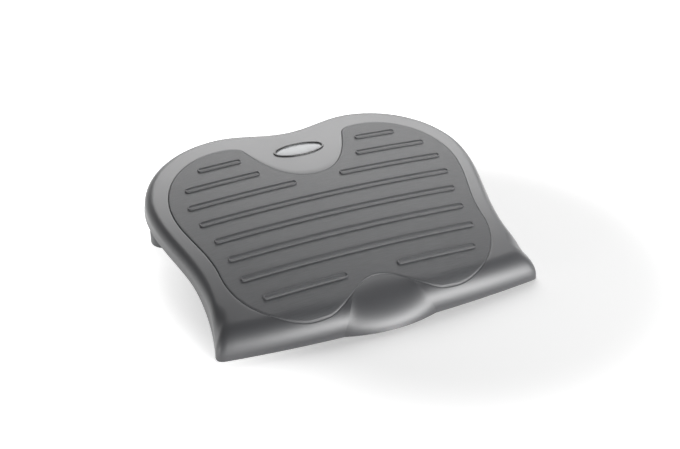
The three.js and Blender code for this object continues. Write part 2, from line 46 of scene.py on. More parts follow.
# Camera
# It stands left of the front and looks down at the platform from about 1.6 m, through a long
# lens on a 36 mm wide sensor.
camera_data = bpy.data.cameras.new("front_left_view")
camera_data.sensor_width = 36
camera_data.lens = 63.53
camera = bpy.data.objects.new("front_left_view", camera_data)
camera_heading = radians(23.74)
camera_dip = radians(31.92)
camera.location = (-0.5325, -1.2343, 0.8815)
camera.rotation_euler = (pi / 2 - camera_dip, 0, -camera_heading)
scene.collection.objects.link(camera)
scene.camera = camera

# Studio
# A white table top that runs out of sight into white, a dim grey dome, and four soft lamps: a wide
# one behind, a low one at the right front that lights the front edge's roll, and a small one at
# each side for the edges that face it.
table_size, glow_centre, glow_from, glow_to, least_glow = 12, (0.14, -0.1, 0), 0.22, 0.46, 0.19

bpy.ops.object.select_all(action="DESELECT")
bpy.ops.mesh.primitive_plane_add(size=table_size)
table = bpy.context.active_object
table.name = "studio_table"

# Painted light: the camera and reflections see the table with an added glow. It is full white from about
# 0.46 m out and weaker within 0.22 m of a point right of and in front of the middle, so near the platform
# the table shows its lamp-lit shade and the platform's shadow.
table_white = bpy.data.materials.new("studio_table_white")
table_white.use_nodes = True
nodes, links = table_white.node_tree.nodes, table_white.node_tree.links
matt = nodes["Principled BSDF"]
matt.inputs["Base Color"].default_value = (0.84, 0.84, 0.84, 1)
matt.inputs["Roughness"].default_value = 0.9
matt.inputs["Specular IOR Level"].default_value = 0.1
where = nodes.new("ShaderNodeTexCoord")
reach = nodes.new("ShaderNodeVectorMath")
reach.operation = "DISTANCE"
reach.inputs[1].default_value = glow_centre
fade = nodes.new("ShaderNodeMapRange")
fade.interpolation_type = "SMOOTHSTEP"
fade.inputs["From Min"].default_value = glow_from
fade.inputs["From Max"].default_value = glow_to
fade.inputs["To Min"].default_value = least_glow
fade.inputs["To Max"].default_value = 1
glow = nodes.new("ShaderNodeEmission")
both = nodes.new("ShaderNodeAddShader")
seen = nodes.new("ShaderNodeMixShader")
links.new(where.outputs["Object"], reach.inputs[0])
links.new(reach.outputs["Value"], fade.inputs["Value"])
links.new(fade.outputs["Result"], glow.inputs["Strength"])
links.new(matt.outputs[0], both.inputs[0])
links.new(glow.outputs[0], both.inputs[1])
links.new(matt.outputs[0], seen.inputs[1])
links.new(both.outputs[0], seen.inputs[2])
links.new(seen.outputs[0], nodes["Material Output"].inputs["Surface"])
table.data.materials.append(table_white)


# Picks the shader that the camera, mirrors and glass see, over the one that only lights the object.
def in_sight(nodes, links, mixer):
    path = nodes.new("ShaderNodeLightPath")
    total = path.outputs["Is Camera Ray"]
    for ray in ("Is Glossy Ray", "Is Transmission Ray"):
        either = nodes.new("ShaderNodeMath")
        either.operation = "MAXIMUM"
        links.new(total, either.inputs[0])
        links.new(path.outputs[ray], either.inputs[1])
        total = either.outputs[0]
    links.new(total, mixer.inputs[0])


in_sight(nodes, links, seen)

studio = bpy.data.worlds.new("studio")
scene.world = studio
studio.use_nodes = True
nodes, links = studio.node_tree.nodes, studio.node_tree.links
where = nodes.new("ShaderNodeTexCoord")
upward = nodes.new("ShaderNodeSeparateXYZ")
shade = nodes.new("ShaderNodeMapRange")
shade.interpolation_type = "SMOOTHSTEP"
shade.inputs["From Min"].default_value = 0.1
shade.inputs["From Max"].default_value = 0.75
shade.inputs["To Min"].default_value = 1
shade.inputs["To Max"].default_value = 0.2
backdrop = nodes.new("ShaderNodeBackground")
backdrop.inputs["Color"].default_value = (1, 1, 1, 1)
dome = nodes.new("ShaderNodeBackground")
dome.inputs["Strength"].default_value = 0.1
chosen = nodes.new("ShaderNodeMixShader")
links.new(where.outputs["Generated"], upward.inputs[0])
links.new(upward.outputs["Z"], shade.inputs["Value"])
links.new(shade.outputs["Result"], backdrop.inputs["Strength"])
links.new(dome.outputs[0], chosen.inputs[1])
links.new(backdrop.outputs[0], chosen.inputs[2])
links.new(chosen.outputs[0], nodes["World Output"].inputs["Surface"])
in_sight(nodes, links, chosen)


def soft_lamp(name, place, width, height, watts):
    lamp_data = bpy.data.lights.new(name, "AREA")
    lamp_data.shape = "RECTANGLE"
    lamp_data.size = width
    lamp_data.size_y = height
    lamp_data.energy = watts
    lamp = bpy.data.objects.new(name, lamp_data)
    lamp.location = place
    lamp.rotation_euler = (-Vector(place)).to_track_quat("-Z", "Y").to_euler()
    scene.collection.objects.link(lamp)


soft_lamp("lamp_behind", (0.80, 1.60, 1.60), 2.3, 1.3, 42)
soft_lamp("lamp_right_front", (0.85, -1.85, 0.48), 1.7, 0.85, 50)
soft_lamp("lamp_right", (2.0, 0.5, 0.7), 0.5, 0.8, 5)
soft_lamp("lamp_left", (-1.9, -0.5, 0.3), 0.6, 0.5, 5)

# Platform moulding
# One shell of filled polypropylene, injection moulded with a fine grain: a sloping, slightly
# crowned deck with a rolled edge, a skirt all round that lifts off the floor behind the front
# corners, a nose in the front edge and a sunk floor for the tread pad.
half_width = 0.2312
back_y = 0.1889
widest_y = 0.0642
waist_half_width, waist_y = 0.2078, -0.0934
corner_half_width, corner_radius = 0.2214, 0.013
nose_half_width, nose_depth = 0.062, 0.009
nose_top_width, nose_top_depth = 0.74, 0.25
front_bow = 0.0155
front_y = nose_depth - back_y
lobe_crest_x, saddle_depth = 0.102, 0.0197
back_height, middle_height, front_height = 0.1054, 0.0804, 0.0291
crown = 0.0094
edge_radius, front_edge_radius, least_edge_radius = 0.0117, 0.026, 0.003
roll_grows_from, roll_grows_over = 0.113, 0.040
nose_edge_reach, nose_edge_radius, nose_fullness = 0.045, 0.027, 0.65
skirt_draft, skirt_wall, deck_wall, skirt_depth = 0.0012, 0.003, 0.0045, 0.021
draft_share, least_draft = 0.13, 0.0001
arch_start_y, arch_slope, arch_blend = -0.138, 0.49, 0.004
floor_gap = 0.001
lip_radius = 0.0008
nose_steps, beside_nose_steps = 10, 6

pad_half_width, pad_widest_y = 0.203, 0.0458
pad_waist_half_width, pad_waist_y = 0.1815, -0.0749
pad_arch_reach, pad_arch_y = 0.080, -0.133
pad_front_x, pad_front_y = 0.091, -0.1685
pad_tip_x = 0.0945
pad_crest_x, pad_crest_y = 0.107, 0.1506
shoulder_share = 0.2
bay_y, bay_half_width, bay_mouth_y = 0.0588, 0.074, 0.1397
bay_side_share, bay_drop_share, bay_floor_share = 0.84, 0.62, 0.62
pad_arch_middle = 0.042
pad_rise, pad_thickness, seat_gap = 0.001, 0.0025, 0.0003
recess_depth = pad_thickness + seat_gap - pad_rise


def shares(count):
    return np.arange(count) / count


def ease(t):
    return (1 - np.cos(pi * t)) / 2


def mix(a, b, t):
    return a + (b - a) * t


def quarter_oval(centre_x, centre_y, half_length, half_height, from_angle, count):
    angles = radians(from_angle) + pi / 2 * shares(count)
    return np.c_[centre_x + half_length * np.cos(angles), centre_y + half_height * np.sin(angles)]


def bezier(points, count):
    t = shares(count)[:, None]
    points = [np.array(p) for p in points]
    while len(points) > 1:
        points = [mix(a, b, t) for a, b in zip(points, points[1:])]
    return points[0]


def with_mirror_image(half):
    return np.vstack([half, half[1:-1][::-1] * (-1, 1)])


def front_edge_y(x, rise=0):
    reach = nose_half_width * mix(1, nose_top_width, rise)
    standing = nose_depth * mix(1, nose_top_depth, rise)
    nose = np.maximum(0, 1 - (x / reach) ** 2) * standing
    return front_y + front_bow * (x / corner_half_width) ** 2 - nose


# The platform in plan, from the floor (0) to the deck (1), where the nose is narrower and further
# back.
def platform_outline(rise=0):
    corner_y = front_y + front_bow
    bend_x = corner_half_width - corner_radius
    bend_y = corner_y + corner_radius
    nose_end = nose_half_width * mix(1, nose_top_width, rise)
    nose_x = nose_end * shares(nose_steps)
    beside_nose_x = mix(nose_end, pad_tip_x, shares(beside_nose_steps))
    front_t = shares(15)
    front_x = mix(pad_tip_x, bend_x, front_t * (0.64 + 0.36 * front_t))
    flare_y = mix(bend_y, waist_y, shares(8))
    side_t = shares(22)
    saddle_t = shares(20)

    def flare_x(y):
        return mix(waist_half_width, corner_half_width, ((waist_y - y) / (waist_y - corner_y)) ** 2)

    corner = [(bend_x, front_edge_y(bend_x)), (corner_half_width, corner_y), (flare_x(bend_y), bend_y)]
    return with_mirror_image(np.vstack([
        np.c_[nose_x, front_edge_y(nose_x, rise)],
        np.c_[beside_nose_x, front_edge_y(beside_nose_x, rise)],
        np.c_[front_x, front_edge_y(front_x)],
        bezier(corner, 7),
        np.c_[flare_x(flare_y), flare_y],
        np.c_[mix(waist_half_width, half_width, ease(side_t)), mix(waist_y, widest_y, side_t)],
        quarter_oval(lobe_crest_x, widest_y, half_width - lobe_crest_x, back_y - widest_y, 0, 30),
        np.c_[mix(lobe_crest_x, 0, saddle_t), back_y - saddle_depth * ease(saddle_t)],
        [(0, back_y - saddle_depth)],
    ]))


def pad_outline():
    arch_x = np.r_[pad_arch_middle * shares(nose_steps),
                   mix(pad_arch_middle, pad_front_x, shares(beside_nose_steps))]
    arch_t = np.minimum(arch_x / pad_arch_reach, 1)
    side_t = shares(22)
    mouth = (bay_half_width, bay_mouth_y)
    shoulder_x = mix(bay_half_width, pad_crest_x, shoulder_share)
    shoulder = [(pad_crest_x, pad_crest_y), (shoulder_x, pad_crest_y), mouth]
    bay = [mouth, (bay_half_width * bay_side_share, mix(bay_y, bay_mouth_y, bay_drop_share)),
           (bay_half_width * bay_floor_share, bay_y), (0, bay_y)]
    return with_mirror_image(np.vstack([
        np.c_[arch_x, mix(pad_arch_y, pad_front_y, ease(arch_t))],
        quarter_oval(pad_front_x, pad_waist_y, pad_waist_half_width - pad_front_x,
                     pad_waist_y - pad_front_y, -90, 30),
        np.c_[mix(pad_waist_half_width, pad_half_width, ease(side_t)),
              mix(pad_waist_y, pad_widest_y, side_t)],
        quarter_oval(pad_crest_x, pad_widest_y, pad_half_width - pad_crest_x,
                     pad_crest_y - pad_widest_y, 0, 30),
        bezier(shoulder, 6),
        bezier(bay, 14),
        [(0, bay_y)],
    ]))


def grown(outline, margin):
    along = np.roll(outline, -1, 0) - np.roll(outline, 1, 0)
    along /= np.linalg.norm(along, axis=1)[:, None]
    return outline + margin * np.c_[along[:, 1], -along[:, 0]]


def drawn_in(outline, inset):
    inset = np.reshape(inset, (-1, 1))
    return outline * (1 - inset / (half_width, back_y))


def deck_height(x, y):
    t = y / back_y
    along = middle_height + t * (back_height - front_height) / 2
    dished = t * t * ((back_height + front_height) / 2 - middle_height)
    return along + dished - crown * (x / half_width) ** 2


# The rolled edge's reach inward and its height; on the nose it reaches further than it is high.
def edge_roll_at(outline):
    x, y = outline.T
    t = np.clip((-y - roll_grows_from) / roll_grows_over, 0, 1)
    nose = np.maximum(0, 1 - (x / nose_half_width) ** 2) ** nose_fullness * (t == 1)
    radius = mix(edge_radius, front_edge_radius, t * t * (3 - 2 * t))
    return (radius + nose * (nose_edge_reach - front_edge_radius),
            radius + nose * (nose_edge_radius - front_edge_radius))


# The skirt leans in by this much below its rolled edge, less where it is low.
def lean_at(outline):
    straight = deck_height(*outline.T) - edge_roll_at(outline)[1] - lower_edge(outline)
    return np.clip(draft_share * straight, least_draft, skirt_draft)


def lies_inside(points, outline):
    a, b = outline, np.roll(outline, -1, 0)
    x, y = points[:, :1], points[:, 1:]
    straddles = (a[:, 1] > y) != (b[:, 1] > y)
    reach = a[:, 0] + (y - a[:, 1]) * (b[:, 0] - a[:, 0]) / (b[:, 1] - a[:, 1] + 1e-12)
    return (straddles & (x < reach)).sum(1) % 2 == 1


# How far a place lies in from the platform's outline, by halving, up to 50 mm.
def inset_of(points, deepest=0.05, halvings=15):
    low, high = np.zeros(len(points)), np.full(len(points), deepest)
    for _ in range(halvings):
        middle = (low + high) / 2
        inside = lies_inside(points / (1 - middle[:, None] / (half_width, back_y)), outer)
        low, high = np.where(inside, middle, low), np.where(inside, high, middle)
    return low


# Height of the platform's skin at places in plan, or of the same skin moved inward.
def skin_height(points, depth=0.0):
    inset = inset_of(points)
    edge = points / (1 - inset[:, None] / (half_width, back_y))
    reach, radius = [np.maximum(size - depth, least_edge_radius) for size in edge_roll_at(edge)]
    rise = 1 - np.clip((inset - depth - lean_at(edge)) / reach, 0, 1)
    return deck_height(*points.T) - depth - radius * (1 - np.sqrt(1 - rise ** 2))


def lower_edge(outline):
    arch = arch_slope * (outline[:, 1] - arch_start_y)
    parallel = deck_height(*outline.T) - skirt_depth
    return np.maximum(floor_gap, soft_least(arch, parallel, arch_blend))


def soft_least(a, b, blend):
    h = np.clip(0.5 + (b - a) / (2 * blend), 0, 1)
    return mix(b, a, h) - blend * h * (1 - h)


def at_height(points, height):
    return np.c_[points, np.broadcast_to(height, len(points))]


# Rings become one closed skin: the first is a circle, each next one is extruded from the last.
def lofted(name, rings, hollow=False):
    bpy.ops.object.select_all(action="DESELECT")
    bpy.ops.mesh.primitive_circle_add(vertices=len(rings[0]), fill_type="NOTHING")
    piece = bpy.context.active_object
    piece.name = piece.data.name = name
    for vertex, place in zip(piece.data.vertices, rings[0]):
        vertex.co = place
    bpy.ops.object.mode_set(mode="EDIT")
    mesh = bmesh.from_edit_mesh(piece.data)
    mesh.verts.ensure_lookup_table()
    count = len(rings[0])
    first = last = list(range(count))
    for ring in rings[1:]:
        bpy.ops.mesh.extrude_edges_move()
        mesh = bmesh.from_edit_mesh(piece.data)
        mesh.verts.ensure_lookup_table()
        following = []
        for k, place in zip(last, ring):
            vertex = next(e.other_vert(mesh.verts[k]) for e in mesh.verts[k].link_edges
                          if e.other_vert(mesh.verts[k]).select)
            vertex.co = place
            following.append(vertex.index)
        last = following
    if hollow:
        select_loops(piece, first, last)
        bpy.ops.mesh.bridge_edge_loops()
    else:
        for loop in (last, first):
            select_loops(piece, loop)
            bpy.ops.mesh.extrude_edges_move()
            bpy.ops.mesh.merge(type="CENTER")
    bpy.ops.mesh.select_all(action="SELECT")
    bpy.ops.mesh.remove_doubles(threshold=1e-6)
    bpy.ops.mesh.quads_convert_to_tris(quad_method="SHORTEST_DIAGONAL")
    bpy.ops.mesh.normals_make_consistent(inside=False)
    bpy.ops.object.mode_set(mode="OBJECT")
    return piece


def select_loops(piece, *loops):
    bpy.ops.mesh.select_all(action="DESELECT")
    mesh = bmesh.from_edit_mesh(piece.data)
    mesh.verts.ensure_lookup_table()
    for k in [k for loop in loops for k in loop]:
        mesh.verts[k].select = True
    mesh.select_flush(True)
    mesh.select_flush_mode()
    bmesh.update_edit_mesh(piece.data)


def combined(piece, operation, others):
    for other in others:
        change = piece.modifiers.new(operation.lower(), "BOOLEAN")
        change.operation = operation
        change.solver = "EXACT"
        change.object = other
        bpy.context.view_layer.objects.active = piece
        bpy.ops.object.modifier_apply(modifier=change.name)
        bpy.data.objects.remove(other)
    return piece


outer = platform_outline()
pad_edge = pad_outline()
rim = grown(pad_edge, seat_gap)
reach_at, radius_at = edge_roll_at(outer)
inner_reach_at, inner_radius_at = [np.maximum(size - deck_wall, least_edge_radius)
                                   for size in (reach_at, radius_at)]
low_edge = lower_edge(outer)

rings = []
hollow_edge = drawn_in(platform_outline(1), skirt_wall + skirt_draft + inner_reach_at)
for share in (0.06, 0.2, 0.4, 0.6, 0.8):
    rings.append(at_height(share * hollow_edge, deck_height(*(share * hollow_edge).T) - deck_wall))
for angle in np.radians([90, 68, 46, 24, 0]):
    ring = drawn_in(platform_outline(angle * 2 / pi),
                    skirt_wall + skirt_draft + inner_reach_at * (1 - cos(angle)))
    rings.append(at_height(ring, deck_height(*ring.T) - deck_wall - inner_radius_at * (1 - sin(angle))))
lip = ((skirt_wall, lip_radius), (skirt_wall - lip_radius, 0), (lip_radius, 0), (0, lip_radius))
for inset, lift in lip:
    rings.append(at_height(drawn_in(outer, inset), low_edge + lift))
lean = lean_at(outer)
rim_clearance = 0.0015
curl_reach = np.minimum(lean + reach_at, inset_of(rim) - rim_clearance)
full_turn = np.arccos(1 - (curl_reach - lean) / reach_at)
skirt_top = deck_height(*drawn_in(outer, lean).T) - radius_at
skin_start = len(rings) - 1
for share in (0.35, 0.7):
    rings.append(at_height(drawn_in(outer, lean * share), mix(low_edge + lip_radius, skirt_top, share)))
for share in np.linspace(0, 1, 13):
    angle = full_turn * share
    ring = drawn_in(platform_outline(share), lean + reach_at * (1 - np.cos(angle)))
    rings.append(at_height(ring, deck_height(*ring.T) - radius_at * (1 - np.sin(angle))))
skin_rings = rings[skin_start:]
rim_round = 0.0005
band_start, band_end = rings[-1][:, :2], grown(rim, rim_round)
for share in np.linspace(0, 1, 10)[1:]:
    ring = mix(band_start, band_end, share)
    rings.append(at_height(ring, skin_height(ring)))
for angle in np.radians([30, 60, 90]):
    ring = grown(rim, rim_round * (1 - sin(angle)))
    rings.append(at_height(ring, skin_height(ring) - rim_round * (1 - cos(angle))))
pad_middle, pad_centre_radius = np.array((0, -0.1)), 0.008


def inner_ring(outline, share):
    spokes = outline - pad_middle
    if share:
        return pad_middle + share * spokes
    return pad_middle + pad_centre_radius * spokes / np.linalg.norm(spokes, axis=1)[:, None]


for share in (1, 0.97, 0.85, 0.65, 0.45, 0.25, 0):
    ring = inner_ring(rim, share)
    rings.append(at_height(ring, skin_height(ring, recess_depth)))
platform = lofted("platform_moulding", rings)

# Stiffening ribs and grip gussets
# Plain walls moulded with the shell under the deck, 2 mm thick and 9 mm deep, in a lattice, and
# two short walls that stand on each grip shelf.
rib_thickness, rib_depth, least_rib_depth = 0.002, 0.009, 0.001
rib_root, rib_bite, crossing_step = 0.0035, 0.001, 0.0003
rib_x_places, rib_y_places = (-0.125, -0.05, 0.05, 0.125), (-0.112, -0.042, 0.028, 0.098)


def wall_under_deck(name, starts, ends, count, bottom=None, shallower=0.0):
    path = mix(np.array(starts), np.array(ends), (1 - np.cos(np.linspace(0, pi, count)))[:, None] / 2)
    along = (path[-1] - path[0]) / np.linalg.norm(path[-1] - path[0])
    across = np.array((-along[1], along[0])) * rib_thickness / 2
    tops = skin_height(path, rib_root - shallower)
    rings = []
    for (x, y), top in zip(path, tops):
        low = deck_height(x, y) - deck_wall - rib_depth + shallower if bottom is None else bottom
        low = min(low, top - least_rib_depth)
        left, right = (x + across[0], y + across[1]), (x - across[0], y - across[1])
        rings.append([(*left, low), (*right, low), (*right, top), (*left, top)])
    return lofted(name, rings)


# The last place inside the skirt on a line that runs outward along one axis.
def reach_inside(axis, at, sign, inset):
    line = np.zeros((400, 2))
    line[:, axis] = sign * np.linspace(0.1, 0.235, 400)
    line[:, 1 - axis] = at
    inside = lies_inside(line, drawn_in(outer, inset))
    return line[np.nonzero(inside)[0].max()]


added = []
for x in rib_x_places:
    ends = [reach_inside(1, x, sign, skirt_wall - rib_bite) for sign in (-1, 1)]
    added.append(wall_under_deck("rib_lengthways", *ends, 40))
for y in rib_y_places:
    ends = [reach_inside(0, y, sign, skirt_wall - rib_bite) for sign in (-1, 1)]
    added.append(wall_under_deck("rib_crossways", *ends, 43, shallower=crossing_step))

# Grip shelves and guide bosses
# Two ledges behind the front skirt with pockets for the rubber strips, and three bosses with
# pilot holes over each leg guide, all part of the same moulding.
grip_length, grip_width, grip_x, grip_from_front = 0.070, 0.010, 0.122, 0.0115
rubber_thickness = 0.003
shelf_border, shelf_thickness, front_border_share = 0.003, 0.0046, 1.5
gusset_reach, gusset_bite, cut_room = 0.008, 0.001, 0.01
leg_x, leg_y = 0.198, 0.1155
ear_reach, ear_angles = 0.026, (165, 225, 285)
ear_plate_low, ear_plate_height = 0.0663, 0.004
boss_radius, screw_radius, screw_length = 0.005, 0.0019, 0.012
grip_turn = np.arctan(2 * front_bow * grip_x / corner_half_width ** 2)
grip_y = front_edge_y(grip_x) + grip_from_front


def block(name, low, high):
    bpy.ops.object.select_all(action="DESELECT")
    middle = [(a + b) / 2 for a, b in zip(low, high)]
    bpy.ops.mesh.primitive_cube_add(size=1, location=middle)
    piece = bpy.context.active_object
    piece.name = piece.data.name = name
    piece.scale = [b - a for a, b in zip(low, high)]
    bpy.ops.object.transform_apply(location=True, rotation=True, scale=True)
    return piece


def rod(name, radius, low, high, x, y, sides=32):
    bpy.ops.object.select_all(action="DESELECT")
    bpy.ops.mesh.primitive_cylinder_add(
        vertices=sides, radius=radius, depth=high - low, location=(x, y, (low + high) / 2))
    piece = bpy.context.active_object
    piece.name = piece.data.name = name
    bpy.ops.object.transform_apply(location=True, rotation=True, scale=True)
    return piece


def moved(piece, turn=0.0, place=(0, 0, 0)):
    piece.data.transform(Matrix.Translation(place) @ Matrix.Rotation(turn, 4, "Z"))
    return piece


def capsule_ring(length, width, height, count=12):
    half = width / 2
    angles = np.linspace(-pi / 2, pi / 2, count)
    right = np.c_[length / 2 - half + half * np.cos(angles), half * np.sin(angles)]
    return at_height(np.vstack([right, -right]), height)


def capsule_block(name, length, width, low, high):
    return lofted(name, [capsule_ring(length, width, low), capsule_ring(length, width, high)])


def screw_places(side):
    for angle in np.radians(ear_angles):
        yield side * (leg_x + ear_reach * cos(angle)), leg_y + ear_reach * sin(angle)


taken = []
for side in (-1, 1):
    shelf_front = -grip_width / 2 - front_border_share * shelf_border
    shelf = block("shelf", (-grip_length / 2 - shelf_border, shelf_front, floor_gap),
                  (grip_length / 2 + shelf_border, grip_width / 2 + shelf_border,
                   floor_gap + shelf_thickness))
    added.append(moved(shelf, side * grip_turn, (side * grip_x, grip_y, 0)))
    for end in (-1, 1):
        x = side * grip_x + end * (grip_length + shelf_border) / 2
        y = front_edge_y(abs(x)) + grip_from_front
        added.append(wall_under_deck("gusset", (x, y - gusset_reach), (x, y + gusset_reach), 8,
                                     bottom=floor_gap + gusset_bite))
    pocket = capsule_block("pocket", grip_length + 2 * seat_gap, grip_width + 2 * seat_gap,
                           -cut_room, rubber_thickness + seat_gap)
    taken.append(moved(pocket, side * grip_turn, (side * grip_x, grip_y, 0)))
    for x, y in screw_places(side):
        root = float(deck_height(x, y)) - rib_root
        boss_low = ear_plate_low + ear_plate_height + seat_gap
        added.append(rod("boss", boss_radius, boss_low, root, x, y))
        taken.append(rod("pilot_hole", screw_radius + seat_gap, 0, ear_plate_low + screw_length, x, y))

# Badge pocket
# A shallow oval in the saddle, square to the deck there, that takes the bezel and its plate.
badge_y, badge_half_length, badge_half_height, badge_pocket = 0.1171, 0.0365, 0.0145, 0.0016
deck_curve = 2 * ((back_height + front_height) / 2 - middle_height) / back_y ** 2
badge_tilt = atan2((back_height - front_height) / (2 * back_y) + badge_y * deck_curve, 1)
badge_centre = Matrix.Translation((0, badge_y, deck_height(0, badge_y)))
badge_plane = badge_centre @ Matrix.Rotation(badge_tilt, 4, "X")


def oval_ring(inset, height, count=96):
    angles = 2 * pi * shares(count)
    ring = np.c_[(badge_half_length - inset) * np.cos(angles), (badge_half_height - inset) * np.sin(angles)]
    return at_height(ring, height)


pocket = lofted("badge_pocket",
                [oval_ring(-seat_gap, -badge_pocket), oval_ring(-seat_gap, cut_room)])
pocket.data.transform(badge_plane)
taken.append(pocket)

combined(platform, "UNION", added)
combined(platform, "DIFFERENCE", taken)


def softened(piece, width, angle=35, segments=2):
    bpy.ops.object.select_all(action="DESELECT")
    piece.select_set(True)
    bpy.context.view_layer.objects.active = piece
    if width:
        edges = piece.modifiers.new("edges", "BEVEL")
        edges.width = width
        edges.segments = segments
        edges.limit_method = "ANGLE"
        edges.angle_limit = radians(angle)
        edges.use_clamp_overlap = True
        bpy.ops.object.modifier_apply(modifier=edges.name)
    bpy.ops.object.shade_smooth_by_angle(angle=radians(angle))
    return piece


# The nose meets the front in a crisp crease on each side.
places = np.array([v.co for v in platform.data.vertices])
crease = [ring[k] for ring in skin_rings for k in (nose_steps, -nose_steps)]
creased = {int(np.argmin(((places - p) ** 2).sum(1))) for p in crease}
for edge in platform.data.edges:
    edge.use_edge_sharp = set(edge.vertices) <= creased
softened(platform, 0)


# Moulded plastic: a fine spark grain, cloudy patches in tone and gloss, a smooth moulding skin.
def moulded_plastic(name, colour, roughness, grain=1500, relief=0.25, skin=0.0):
    plastic = bpy.data.materials.new(name)
    plastic.use_nodes = True
    nodes, links = plastic.node_tree.nodes, plastic.node_tree.links
    shader = nodes["Principled BSDF"]
    shader.inputs["Specular IOR Level"].default_value = 0.8
    shader.inputs["Coat Weight"].default_value = skin
    shader.inputs["Coat Roughness"].default_value = 0.42
    where = nodes.new("ShaderNodeTexCoord")
    clouds = nodes.new("ShaderNodeTexNoise")
    clouds.inputs["Scale"].default_value = 14
    clouds.inputs["Detail"].default_value = 4
    tones = nodes.new("ShaderNodeValToRGB")
    tones.color_ramp.elements[0].position = 0.3
    tones.color_ramp.elements[0].color = (*[c * 0.94 for c in colour], 1)
    tones.color_ramp.elements[1].position = 0.7
    tones.color_ramp.elements[1].color = (*[c * 1.06 for c in colour], 1)
    gloss = nodes.new("ShaderNodeMapRange")
    gloss.inputs["To Min"].default_value = roughness - 0.03
    gloss.inputs["To Max"].default_value = roughness + 0.05
    grains = nodes.new("ShaderNodeTexNoise")
    grains.inputs["Scale"].default_value = grain
    grains.inputs["Detail"].default_value = 2
    bump = nodes.new("ShaderNodeBump")
    bump.inputs["Strength"].default_value = relief
    bump.inputs["Distance"].default_value = 0.0001
    links.new(where.outputs["Object"], clouds.inputs["Vector"])
    links.new(where.outputs["Object"], grains.inputs["Vector"])
    links.new(clouds.outputs["Fac"], tones.inputs["Fac"])
    links.new(tones.outputs["Color"], shader.inputs["Base Color"])
    links.new(clouds.outputs["Fac"], gloss.inputs["Value"])
    links.new(gloss.outputs["Result"], shader.inputs["Roughness"])
    links.new(grains.outputs["Fac"], bump.inputs["Height"])
    links.new(bump.outputs["Normal"], shader.inputs["Normal"])
    return plastic


def finished(piece, material, body, slot, *stands_for):
    piece.data.materials.clear()
    piece.data.materials.append(material)
    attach(piece, body)
    if stands_for:
        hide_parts(*stands_for)
    return piece


shell_plastic = moulded_plastic("charcoal_shell_plastic", (0.036, 0.037, 0.041), 0.44, skin=0.7)
finished(platform, shell_plastic, "platform", "shell", "platform_shell")

# Tread pad
# A mat of softer textured plastic set in the platform's recess, its face a little above the rim.
# Raised bars, each a low rim round a shallow trough, keep shoes from sliding: eight rows with
# round ends, broken in the middle beside the badge and over the nose.
bar_width, bar_height, bar_pitch, first_bar_y = 0.008, 0.002, 0.0345, 0.1174
bar_outer_ends = (0.82, 0.885, 0.895, 0.89, 0.89, 0.898, 0.89, 0.863)
bar_inner_ends = (0.58, 0.403, 0.171, 0, 0, 0, 0, 0.232)
bar_sink, bar_draft, bar_round, trough_depth = 0.0006, 0.00015, 0.0005, 0.0012
trough_section = ((0.0012, 0.1), (0.0017, 0.6), (0.0021, 0.95), (0.0025, 1))
bar_step, tip_share = 0.012, 0.8
pad_round = 0.0015

rings = []
for share in (0, 0.25, 0.45, 0.65, 0.85, 1):
    ring = inner_ring(pad_edge, share)
    rings.append(at_height(ring, skin_height(ring, pad_thickness - pad_rise)))
for angle in np.radians([0, 30, 60, 90]):
    ring = grown(pad_edge, -pad_round * (1 - cos(angle)))
    rings.append(at_height(ring, skin_height(ring, -pad_rise) - pad_round * (1 - sin(angle))))
for share in (0.995, 0.97, 0.93, 0.87, 0.8, 0.72, 0.64, 0.55, 0.46, 0.37, 0.28, 0.19, 0):
    ring = inner_ring(grown(pad_edge, -pad_round), share)
    rings.append(at_height(ring, skin_height(ring, -pad_rise)))
pad = lofted("tread_mat", rings)


# The pad's half width at a place from front to back.
def pad_reach(y):
    line = np.c_[np.linspace(0.1, 0.21, 400), np.full(400, y)]
    return line[np.nonzero(lies_inside(line, pad_edge))[0].max()][0]


# A bar's section: how far in from its side a place lies, and how high on the mat. The trough's
# places have their share of its depth.
bar_section = [(0, -bar_sink)]
bar_section += [(bar_draft + bar_round * (1 - cos(a)), bar_height - bar_round * (1 - sin(a)))
                for a in np.radians([0, 30, 60, 90])]
bar_section += [(into, bar_height - share * trough_depth) for into, share in trough_section]


def tread_bar(from_x, to_x, y):
    half = bar_width / 2
    tip = [into for into, rise in bar_section[1:]] + [half * tip_share, half]
    straight = np.linspace(from_x + half, to_x - half, int((to_x - from_x) / bar_step))[1:-1]
    stations = [(from_x + into, into) for into in tip] + [(x, half) for x in straight]
    stations += [(to_x - into, into) for into in reversed(tip)]
    rings = []
    for x, into in stations:
        ring = []
        for sign, section in ((1, bar_section), (-1, bar_section[::-1])):
            for inset, _ in section:
                inset = min(inset, into)
                place = y + sign * np.sqrt(max((half - inset) ** 2 - (half - into) ** 2, 0))
                rise = np.interp(inset, *zip(*bar_section))
                ring.append((x, place, deck_height(x, place) + pad_rise + rise))
        rings.append(ring)
    return lofted("tread_bar", rings)


bars = []
for row, (outer_end, inner_end) in enumerate(zip(bar_outer_ends, bar_inner_ends)):
    y = first_bar_y - bar_pitch * row
    end = pad_reach(y) * outer_end
    if inner_end:
        bars.append(tread_bar(-end, -end * inner_end, y))
        bars.append(tread_bar(end * inner_end, end, y))
    else:
        bars.append(tread_bar(-end, end, y))
combined(pad, "UNION", bars)
softened(pad, 0, 50)


